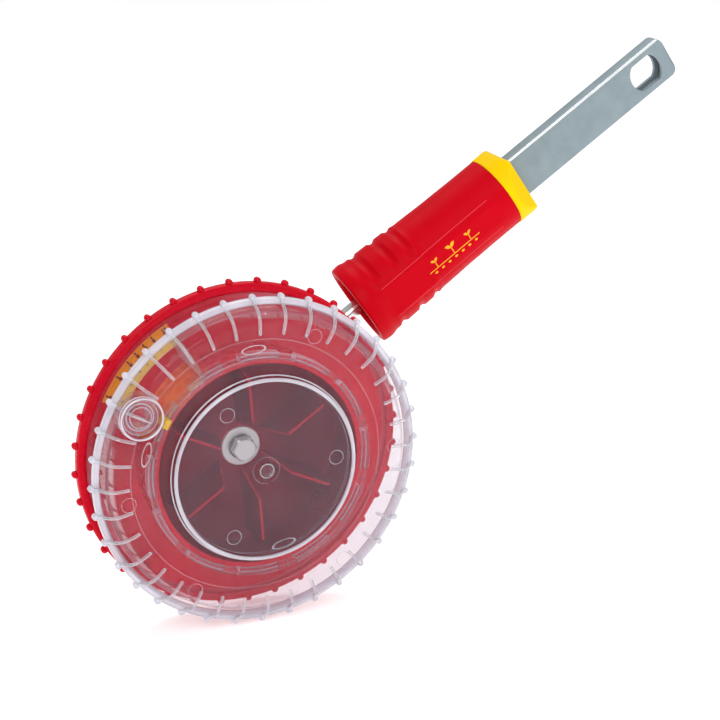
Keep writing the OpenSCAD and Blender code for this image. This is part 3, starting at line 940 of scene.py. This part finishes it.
def spring_washer():
    """A split washer, its ends a little apart and twisted."""
    lo, hi = depths("spring_washer")
    radius, gap, twist, steps = 4.5, 8, 0.12, 60
    path = []
    for i in range(steps + 1):
        share = i / steps
        t = radians(gap / 2 + (360 - gap) * share)
        z = (lo + hi) / 2 + twist * (2 * share - 1)
        path.append(Vector((radius * cos(t), radius * sin(t), z)))
    return tube(path, hi - lo - 0.3, 2.5, 12, Vector((0, 0, 1)))


def lock_nut():
    """The nut's hexagon with the rounded collar of its locking insert behind it."""
    lo, hi = depths("lock_nut")
    bore, face_r, hex_lo = BOLT_R + 0.02, HEX / 2 - 0.1, lo + 1.2
    insert = lathe(washer_outline(bore, 4.3, lo, hex_lo + 0.2, 0.5, 0.1), 48)
    ring = lathe([(bore, hex_lo), (face_r, hex_lo), (face_r, hex_lo + 0.4),
                  (bore, hex_lo + 0.4)], 48)
    return joined([hex_head(hex_lo, hi, front=False), insert, ring])


for node, part, finish, slot in (
        ("axle_bolt", axle_bolt(), ZINC, "zinc_steel"),
        ("spring_washer", spring_washer(), ZINC_DARK, "zinc_steel"),
        ("front_washer", washer("front_washer", BOLT_BORE, WASHER_R, 0.5), ZINC, "zinc_steel"),
        ("thrust_washer", washer("thrust_washer", BOLT_BORE, WASHER_R), ZINC, "zinc_steel"),
        ("rear_washer", washer("rear_washer", BOLT_BORE, 6.0), ZINC, "zinc_steel"),
        ("bearing_bush", washer("bearing_bush", BOLT_R + 0.03, BUSH_R), BRASS, "brass"),
        ("lock_nut", lock_nut(), ZINC, "zinc_steel")):
    piece(node + "_body", part, WHEEL, [finish], "handle", slot, [node])


# ---- the arm ----

def bent_path(corners, radius, steps=8):
    """Points along straight runs joined by round bends."""
    path = [corners[0]]
    for a, p, b in zip(corners, corners[1:], corners[2:]):
        u, v = (a - p).normalized(), (b - p).normalized()
        half = u.angle(v) / 2
        reach = radius / math.tan(half)
        centre = p + (u + v).normalized() * (radius / sin(half))
        start, end = p + u * reach - centre, p + v * reach - centre
        for k in range(steps + 1):
            path.append(centre + start.slerp(end, k / steps).normalized() * radius)
    return path + [corners[-1]]


def arm():
    """The round rod, cranked behind the rim, with its end pressed flat into an eye."""
    eye_back, eye_front = depths("rear_washer")[1], depths("thrust_washer")[0]
    mid = (eye_back + eye_front) / 2
    back = -HANDLE_BACK / MM
    root, crank, tip = 14, 50, 133
    corners = [Vector((x, 0, z)) for x, z in ((root, mid), (crank, mid),
                                              (crank + mid - back, back), (tip, back))]
    path = bent_path(corners, 11)
    fine = [path[0]]
    for p in path[1:]:
        start = fine[-1]
        count = max(1, round((p - start).length / 4))
        fine += [start.lerp(p, k / count) for k in range(1, count + 1)]
    rod = 7.2
    verts, faces = tube(fine, rod, rod, 24)
    pressed, press_end = (eye_front - eye_back) / rod, root + 12
    for v in verts:
        share = smooth((v.x - root) / 12)
        if v.x < press_end + 1:
            v.z = mid + (v.z - mid) * (pressed + (1 - pressed) * share)
            v.y *= 1.45 - 0.45 * share
    eye = lathe(washer_outline(BOLT_R + 0.15, WASHER_R, eye_back, eye_front, 0.9, 0.9, 0.2), 64)
    neck = prism([(7.5, -5.6), (13, -5.2), (21, -3), (21, 3), (13, 5.2), (7.5, 5.6)],
                 eye_back + 0.02, eye_front - 0.02)
    return joined([(verts, faces), eye, neck])


piece("arm_body", arm(), WHEEL, [BRIGHT], "handle", "bright_steel", ["arm_rod"])


# ---- the grip ----

TONGUE_HI = Vector(MOUNTS["tongue_slide"]["pos_m"]).dot(ALONG) / MM
LATCH_AT = Vector(MOUNTS["latch_hole"]["pos_m"]).dot(ALONG) / MM
TONGUE_W, TONGUE_T, TONGUE_WALL = 20.7, 8.5, 1.75
LATCH_R, LATCH_FLAT = 8.5, 7.0
PIN_AT, PIN_HOLE_R = 11.0, 2.0
COLLAR_HI = TONGUE_HI - 94.8
SLEEVE_HI = COLLAR_HI - 10.2
SLEEVE_LO = SLEEVE_HI - 84.2
TONGUE_LO = TONGUE_HI - 140.8
GROOVES = (SLEEVE_LO + 12.2, SLEEVE_LO + 23.2, SLEEVE_LO + 32.2)
PANEL_LO, PANEL_HI = SLEEVE_LO + 6.2, SLEEVE_HI - 6
PANEL_HALF = 8.0
END_SLOPE = 0.08
COLLAR_R = 18.1
MARK_HIGH = 0.12


def sleeve_radius(z):
    """Outer radius of the grip at a distance from the axle, without grooves and panels."""
    knots = [(0, 20.1), (4.2, 20.4), (8.2, 19.6), (32.2, 19.1), (37.2, 18.35), (56.2, 17.9),
             (71.2, 17.75), (84.2, 17.75)]
    z = max(z - SLEEVE_LO, 0)
    for (z0, r0), (z1, r1) in zip(knots, knots[1:]):
        if z <= z1:
            return r0 + (r1 - r0) * smooth((z - z0) / (z1 - z0))
    return knots[-1][1]


def panel_height(z):
    """How far the flat front and back panels stand from the grip's centre line."""
    return 18.3 - (z - PANEL_LO) * math.tan(radians(1.1))


def sleeve_point(z, t):
    """A point of the grip's skin: side grooves that fade into flat front and back panels."""
    r = sleeve_radius(z)
    fade = smooth((abs(cos(t)) - 0.42) / 0.4)
    for at in GROOVES:
        r -= 1.05 * fade * max(0.0, 1 - ((z - at) / 2.1) ** 2)
    x, y = r * cos(t), r * sin(t)
    ends = smooth((z - PANEL_LO) / 5) * smooth((PANEL_HI - z) / 5)
    inside = smooth((PANEL_HALF + 0.4 - abs(x)) / 0.4)
    flat = soft_min(abs(y), panel_height(z), 0.3)
    y = math.copysign(abs(y) + (flat - abs(y)) * ends * inside, y)
    return x, y


def sleeve_shift(z, y):
    """Slopes the grip's lower end so that its front reaches further down."""
    return z - y * END_SLOPE * smooth((SLEEVE_LO + 9 - z) / 9)


def grip_sleeve():
    """The skin from the lower end to the upper, and back down the bore round the core."""
    around, along = 360, 150
    lip = 1.2
    rows = []
    for k in range(along + 1):
        z = SLEEVE_LO + lip + (SLEEVE_HI - SLEEVE_LO - lip - 0.4) * k / along
        rows.append([(*sleeve_point(z, 2 * pi * i / around), z) for i in range(around)])
    low = [[(x * s, y * s, SLEEVE_LO + dz) for x, y, _ in rows[0]]
           for s, dz in ((0.93, 0.0), (0.965, 0.08), (0.99, 0.45))]
    top = [[(x * s, y * s, SLEEVE_HI - dz) for x, y, _ in rows[-1]] for s, dz in
           ((0.998, 0.12), (0.985, 0.0))]
    bore_r = 15.75
    bore = [[(x, y, z) for x, y in circle(r, around)] for r, z in
            ((bore_r, SLEEVE_HI), (bore_r, SLEEVE_LO + 6), (16.0, SLEEVE_LO + 3),
             (16.6, SLEEVE_LO + 0.5), (17.2, SLEEVE_LO))]
    loops = low + rows + top + bore
    verts = [Vector((x, y, sleeve_shift(z, y))) for loop in loops for x, y, z in loop]
    return verts, loop_faces(len(loops), around)


def panel_lines():
    """The fine ridges along the long edges of the front and back panels, in a lighter, glossier
    red as painted highlight lines.
    """
    parts = []
    for side in (-1, 1):
        for face in (-1, 1):
            path = []
            for k in range(61):
                z = PANEL_LO + 4 + (PANEL_HI - PANEL_LO - 8) * k / 60
                t = math.acos(PANEL_HALF * side / sleeve_radius(z))
                x, y = sleeve_point(z, t)
                path.append(Vector((x, (y - 0.05) * face, z)))
            parts.append(tube(path, 0.4, 0.3, 8, Vector((1, 0, 0))))
    return joined(parts)


def collar():
    """The yellow collar: a short cylinder hipped up to the tongue on all four sides."""
    lo, hi = SLEEVE_HI + 0.05, COLLAR_HI
    around, along = 288, 40
    loops = []
    for k in range(along + 1):
        z = lo + (hi - lo) * k / along
        r = COLLAR_R - 0.25 * smooth((0.6 - (z - lo)) / 0.6)
        y_top = 17.4 - max(0.0, z - lo - 3.2) * 0.9
        x_top = 17.9 - 0.12 * max(0.0, z - lo - 4.0) ** 2
        loop = []
        for x, y in circle(r, around):
            y = math.copysign(soft_min(abs(y), y_top, 1.6), y)
            x = math.copysign(soft_min(abs(x), x_top, 1.4), x)
            loop.append(Vector((x, y, z)))
        loops.append(loop)
    half_w, half_t = TONGUE_W / 2 + 0.1, TONGUE_T / 2 + 0.1
    hole = [Vector((*nearest_on_box(p.x, p.y, half_w, half_t), hi)) for p in loops[-1]]
    loops.append(hole)
    loops.append([Vector((p.x, p.y, lo)) for p in hole])
    return [p for loop in loops for p in loop], loop_faces(len(loops), around)


def nearest_on_box(x, y, half_x, half_y):
    """Where the ray from the centre to a point leaves a rectangle."""
    scale = min(half_x / max(abs(x), 1e-6), half_y / max(abs(y), 1e-6))
    return x * scale, y * scale


def tongue():
    """The tongue's outside: a flat bar with eased edges and a round-cornered tip."""
    corner, tip, steps = 3.6, 0.8, 10
    half_w, half_t, ease = TONGUE_W / 2, TONGUE_T / 2, 1.3
    section = filleted([(-half_w, -half_t, ease), (half_w, -half_t, ease),
                        (half_w, half_t, ease), (-half_w, half_t, ease)], 5)
    corner_at = TONGUE_HI - corner
    stations = [(TONGUE_LO + z, 0.0) for z in (0, 35, 80, 110)] + [(corner_at, 0.0)]
    for k in range(1, steps + 1):
        t = pi / 2 * k / steps
        stations.append((corner_at + corner * sin(t), corner * (1 - cos(t))))
    verts = []
    for z, narrow in stations:
        scale = 1 - narrow / half_w
        pinch = 1 - 0.12 * max(0.0, z - TONGUE_HI + tip) / tip
        verts += [Vector((x * scale, y * pinch, z)) for x, y in section]
    return verts, stack_faces(len(stations), len(section))


def cut(obj, part):
    """Takes a part out of a piece for good."""
    tool = mesh_object("cutter", part, GRIP)
    mod = obj.modifiers.new("cut", "BOOLEAN")
    mod.operation = "DIFFERENCE"
    mod.solver = "EXACT"
    mod.object = tool
    bake_modifiers(obj)
    bpy.data.objects.remove(tool)


def bake_modifiers(obj):
    """Replaces a piece's mesh with what its modifiers make of it."""
    deps = bpy.context.evaluated_depsgraph_get()
    mesh = bpy.data.meshes.new_from_object(obj.evaluated_get(deps))
    mesh.shade_smooth()
    mesh.set_sharp_from_angle(angle=radians(32))
    obj.modifiers.clear()
    obj.data = mesh


def latch_outline():
    """A circle with two flats along the tongue."""
    return [(min(max(x, -LATCH_FLAT), LATCH_FLAT), y) for x, y in circle(LATCH_R, 96)]


def across(part, at):
    """Lays a part's Z along the grip's front axis, at a distance from the axle."""
    turn = Matrix.Rotation(pi / 2, 4, "X")
    return moved(part, Matrix.Translation((0, 0, at)) @ turn)


def tongue_face(p):
    """The painted highlight line along the tongue's front upper corner: its rounded faces take a
    near-white grey.
    """
    from_side, from_front = TONGUE_W / 2 - p.x, TONGUE_T / 2 - p.y
    return 1 if from_side < 0.95 and from_front < 0.85 and from_side + from_front > 0.55 else 0


def hollow():
    """The room inside the tongue's folded wall, open at its lower end."""
    half_w, half_t = TONGUE_W / 2 - TONGUE_WALL, TONGUE_T / 2 - TONGUE_WALL
    return box_part(-half_w, half_w, -half_t, half_t, TONGUE_LO - 7, TONGUE_HI - 1.8)


piece("grip_sleeve_skin", grip_sleeve(), GRIP, [RED_GRIP], "handle", "red_plastic",
      ["grip_sleeve"], sharp=50)
piece("collar_skin", collar(), GRIP, [YELLOW], "handle", "yellow_plastic", ["collar_ring"],
      sharp=40)
piece("grip_panel_lines", panel_lines(), GRIP, [RED_PAINTED_HIGHLIGHT], "handle", "red_plastic")
tongue_piece = piece("tongue_bar", tongue(), GRIP, [GREY, GREY_PAINTED_HIGHLIGHT], "handle", "grey_steel",
                     ["tongue"], pick=tongue_face)
cut(tongue_piece, hollow())
cut(tongue_piece, across(prism(latch_outline(), -TONGUE_T, TONGUE_T), LATCH_AT))
cut(tongue_piece, across(prism(circle(PIN_HOLE_R, 32), -TONGUE_T, TONGUE_T),
                         TONGUE_LO + PIN_AT))
add_bevel(tongue_piece, 0.35, angle=50)


# ---- the mark on the grip ----

def leaf(length, width, angle):
    """A pointed leaf from its stalk, fuller on its upper side."""
    shares = [i / 16 for i in range(17)]
    points = [(length * s, width * sin(pi * s) ** 0.8) for s in shares]
    points += [(length * s, -0.5 * width * sin(pi * s) ** 0.8) for s in shares[-2:0:-1]]
    if cos(angle) < 0:
        points = [(x, -y) for x, y in reversed(points)]
    return moved(prism(points, 0, MARK_HIGH), Matrix.Rotation(angle, 4, "Z"))


def strip(x0, x1, y0, y1):
    return box_part(x0, x1, y0, y1, 0, MARK_HIGH)


def seedling(x, size):
    leaves = [shifted(leaf(2.9 * size, 0.95 * size, radians(a)), x, 0.2 + 1.3 * size)
              for a in (38, 142)]
    return joined([strip(x - 0.22, x + 0.22, -1.6, 0.3 + 1.4 * size), *leaves])


def drill_row():
    """A plain mark for a row of seedlings over a drill line, with the seeds beneath it."""
    parts = [strip(-15, 15, -1.9, -1.5)]
    parts += [seedling(x, size) for x, size in ((-10, 0.85), (0, 1.15), (10, 0.85))]
    parts += [prism(circle(0.8, 20, x, -3.3, 0.625), 0, MARK_HIGH) for x in range(-12, 13, 4)]
    return joined(parts)


def on_panel(part, at):
    """Lays a flat mark on the grip's front panel, upright when the handle points right."""
    verts, faces = part
    out = []
    for v in verts:
        z = at + v.x
        out.append(Vector((v.y, panel_height(z) - 0.04 + v.z, z)))
    return out, faces


piece("grip_mark", on_panel(drill_row(), SLEEVE_LO + 48), GRIP, [MARK], "handle",
      "yellow_plastic")


# ---- inside the grip: the CAD shapes with their own finish ----

for node, finish in (("core_insert", DARK), ("arm_pin", PIN), ("tongue_pin", PIN)):
    obj = frame["nodes"][node]
    obj.data.materials.clear()
    obj.data.materials.append(finish)


# ---- floor, light and camera ----

def floor():
    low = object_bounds()[0].z - 0.0003
    size = 6.0
    mesh = bpy.data.meshes.new("floor")
    mesh.from_pydata([(-size, -size, low), (size, -size, low), (size, size, low),
                      (-size, size, low)], [], [(0, 1, 2, 3)])
    obj = bpy.data.objects.new("floor", mesh)
    bpy.context.scene.collection.objects.link(obj)
    n = Nodes("pale_floor")
    bsdf = n.principled(Roughness=0.6)
    bsdf.inputs["Emission Color"].default_value = (1, 1, 1, 1)
    bsdf.inputs["Emission Strength"].default_value = 0.42
    n.link(n.blend(n.ramp(n.noise(3, 2), 0, 1), (0.88, 0.88, 0.89), (0.92, 0.92, 0.92)),
           bsdf.inputs["Base Color"])
    mesh.materials.append(n.finish(bsdf.outputs["BSDF"]))
    obj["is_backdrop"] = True


def softbox(name, place, size, power):
    """A rectangular lamp turned toward the object."""
    light = bpy.data.lights.new(name, "AREA")
    light.shape = "RECTANGLE"
    light.size, light.size_y = size
    light.energy = power
    obj = bpy.data.objects.new(name, light)
    obj.location = place
    aim = Vector((0.05, 0, 0)) - Vector(place)
    obj.rotation_euler = aim.to_track_quat("-Z", "Y").to_euler()
    bpy.context.scene.collection.objects.link(obj)


def world():
    w = bpy.data.worlds.new("studio")
    bpy.context.scene.world = w
    w.use_nodes = True
    sky = w.node_tree.nodes["Background"]
    sky.inputs["Color"].default_value = (1, 1, 1, 1)
    sky.inputs["Strength"].default_value = 0.5


def camera():
    """At the photograph's angle: from the front left, a little above."""
    data = bpy.data.cameras.new("camera")
    data.lens = 104.6
    data.sensor_width = 36
    data.clip_end = 20
    obj = bpy.data.objects.new("camera", data)
    stand = Vector((-0.2901, -0.8029, 0.3315))
    right = Vector((0.9194, -0.3932, 0.0)).normalized()
    back = Vector((-0.3724, -0.8709, 0.3210)).normalized()
    turn = Matrix((right, back.cross(right), back)).transposed()
    obj.matrix_world = Matrix.Translation(stand) @ turn.to_4x4()
    bpy.context.scene.collection.objects.link(obj)
    bpy.context.scene.camera = obj


floor()
world()
softbox("key", (-0.55, -1.2, 0.95), (0.8, 0.8), 11)
softbox("fill", (1.0, -0.8, 0.5), (0.8, 0.8), 4)
softbox("back", (0.2, 0.7, 1.3), (1.0, 0.6), 9)
camera()
bpy.context.scene.view_settings.view_transform = "Standard"
bpy.context.scene.cycles.transparent_max_bounces = 32
